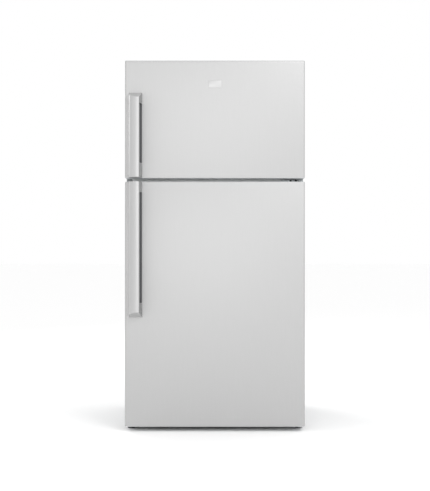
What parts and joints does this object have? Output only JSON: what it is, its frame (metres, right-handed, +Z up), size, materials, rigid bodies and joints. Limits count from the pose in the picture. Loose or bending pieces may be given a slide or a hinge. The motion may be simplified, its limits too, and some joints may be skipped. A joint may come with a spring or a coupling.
{
  "type": "top freezer refrigerator",
  "caption": "Two-door refrigerator with the freezer above, doors hinged on the right, vertical grips on the left, shelves, drawers and door bins inside.",
  "frame": {"origin": "on the floor, midway between the sides and between the front of the handles and the rear edge", "axes": "+Z up, +Y towards the rear so the doors face -Y, +X towards the hinged side"},
  "size_m": [0.832, 0.819, 1.715],
  "materials": {
    "door_steel": "satin, fine vertical grain",
    "handle_metal": "satin",
    "cabinet_paint": "fine textured enamel",
    "galvanised_steel": "zinc plated",
    "foam": "rigid polyurethane foam",
    "white_liner": "vacuum-formed polystyrene",
    "grey_plastic": "moulded",
    "black_plastic": "moulded",
    "gasket_vinyl": "soft vinyl",
    "clear_plastic": "clear moulding",
    "shelf_glass": "tempered glass pane moulded into a plastic border",
    "black_enamel": "gloss black",
    "aluminium_fins": "mill"
  },
  "bodies": {
    "cabinet": {"base_chassis": "galvanised_steel", "bottom_hinge": "galvanised_steel", "cabinet_floor": "galvanised_steel", "cabinet_insulation": "foam", "centre_hinge": "galvanised_steel", "compressor": "black_enamel", "condenser_coil": "black_enamel", "condenser_fan_motor": "galvanised_steel", "control_housing": "white_liner", "crisper_cover": "shelf_glass", "drain_pan": "black_plastic", "evaporator": "aluminium_fins", "evaporator_cover": "white_liner", "freezer_liner": "white_liner", "freezer_shelf": "white_liner", "fridge_liner": "white_liner", "ice_maker_frame": "grey_plastic", "kick_grille": "black_plastic", "lower_shelf": "shelf_glass", "machine_cover": "galvanised_steel", "mullion_trim": "cabinet_paint", "outer_shell": "cabinet_paint", "rear_panel": "galvanised_steel", "top_hinge": "galvanised_steel", "top_hinge_cover": "grey_plastic", "upper_shelf": "shelf_glass"},
    "freezer_door": {"freezer_door_bottom_cap": "grey_plastic", "freezer_door_gasket": "gasket_vinyl", "freezer_door_handle": "handle_metal", "freezer_door_insulation": "foam", "freezer_door_liner": "white_liner", "freezer_door_lower_bin": "clear_plastic", "freezer_door_panel": "door_steel", "freezer_door_top_cap": "grey_plastic", "freezer_door_upper_bin": "clear_plastic"},
    "fridge_door": {"fridge_door_bottom_cap": "grey_plastic", "fridge_door_gasket": "gasket_vinyl", "fridge_door_handle": "handle_metal", "fridge_door_insulation": "foam", "fridge_door_liner": "white_liner", "fridge_door_lower_bin": "clear_plastic", "fridge_door_middle_bin": "clear_plastic", "fridge_door_panel": "door_steel", "fridge_door_top_cap": "grey_plastic", "fridge_door_upper_bin": "clear_plastic", "dairy_box": "clear_plastic"},
    "dairy_lid_body": {"dairy_lid": "clear_plastic"},
    "left_crisper_body": {"left_crisper": "clear_plastic"},
    "right_crisper_body": {"right_crisper": "clear_plastic"},
    "deli_drawer_body": {"deli_drawer": "clear_plastic"},
    "ice_bin_body": {"ice_bin": "clear_plastic"},
    "ice_tray_body": {"ice_tray": "white_liner"},
    "humidity_slider_body": {"humidity_slider": "grey_plastic"},
    "temperature_knob_body": {"temperature_knob": "grey_plastic"},
    "evaporator_fan_body": {"evaporator_fan": "black_plastic"},
    "condenser_fan_body": {"condenser_fan": "black_plastic"},
    "left_roller_body": {"left_roller": "black_plastic"},
    "right_roller_body": {"right_roller": "black_plastic"},
    "left_levelling_foot_body": {"left_levelling_foot": "black_plastic"},
    "right_levelling_foot_body": {"right_levelling_foot": "black_plastic"}
  },
  "joints": [
    {"name": "freezer_door_swing", "type": "hinge", "parent": "cabinet", "child": "freezer_door", "pos_m": [0.396, -0.3045, 1.443], "axis": [0, 0, 1], "range_deg": [0, 115]},
    {"name": "fridge_door_swing", "type": "hinge", "parent": "cabinet", "child": "fridge_door", "pos_m": [0.396, -0.3045, 0.589], "axis": [0, 0, 1], "range_deg": [0, 115]},
    {"name": "dairy_lid_lift", "type": "hinge", "parent": "fridge_door", "child": "dairy_lid_body", "pos_m": [0, -0.2742, 1.019], "axis": [1, 0, 0], "range_deg": [0, 85]},
    {"name": "left_crisper_slide", "type": "slide", "parent": "cabinet", "child": "left_crisper_body", "axis": [0, -1, 0], "range_m": [0, 0.1955]},
    {"name": "right_crisper_slide", "type": "slide", "parent": "cabinet", "child": "right_crisper_body", "axis": [0, -1, 0], "range_m": [0, 0.1955]},
    {"name": "deli_drawer_slide", "type": "slide", "parent": "cabinet", "child": "deli_drawer_body", "axis": [0, -1, 0], "range_m": [0, 0.1955]},
    {"name": "ice_bin_slide", "type": "slide", "parent": "cabinet", "child": "ice_bin_body", "axis": [0, -1, 0], "range_m": [0, 0.1725]},
    {"name": "humidity_slider_slide", "type": "slide", "parent": "cabinet", "child": "humidity_slider_body", "axis": [1, 0, 0], "range_m": [0, 0.03]},
    {"name": "ice_tray_twist", "type": "hinge", "parent": "cabinet", "child": "ice_tray_body", "pos_m": [-0.295, -0.0305, 1.5583], "axis": [0, 1, 0], "range_deg": [0, 140], "stiffness_Nm_per_rad": 0.3},
    {"name": "temperature_knob_turn", "type": "hinge", "parent": "cabinet", "child": "temperature_knob_body", "pos_m": [-0.1, -0.1205, 1.112], "axis": [0, -1, 0], "range_deg": [0, 270]},
    {"name": "evaporator_fan_spin", "type": "hinge", "parent": "cabinet", "child": "evaporator_fan_body", "pos_m": [0, 0.281, 1.516], "axis": [0, 1, 0], "continuous": true},
    {"name": "condenser_fan_spin", "type": "hinge", "parent": "cabinet", "child": "condenser_fan_body", "pos_m": [0.01, 0.2945, 0.154], "axis": [1, 0, 0], "continuous": true},
    {"name": "left_roller_spin", "type": "hinge", "parent": "cabinet", "child": "left_roller_body", "pos_m": [-0.396, 0.3695, 0.022], "axis": [1, 0, 0], "continuous": true},
    {"name": "left_foot_adjust", "type": "slide", "parent": "cabinet", "child": "left_levelling_foot_body", "axis": [0, 0, -1], "range_m": [0, 0.012]},
    {"name": "right_roller_spin", "type": "hinge", "parent": "cabinet", "child": "right_roller_body", "pos_m": [0.396, 0.3695, 0.022], "axis": [1, 0, 0], "continuous": true},
    {"name": "right_foot_adjust", "type": "slide", "parent": "cabinet", "child": "right_levelling_foot_body", "axis": [0, 0, -1], "range_m": [0, 0.012]}
  ],
  "couplings": [
    {"joint": "left_crisper_slide", "follows": "fridge_door_swing", "m_per_rad": 0.0974},
    {"joint": "right_crisper_slide", "follows": "fridge_door_swing", "m_per_rad": 0.0974},
    {"joint": "deli_drawer_slide", "follows": "fridge_door_swing", "m_per_rad": 0.0974},
    {"joint": "ice_bin_slide", "follows": "freezer_door_swing", "m_per_rad": 0.0859}
  ]
}
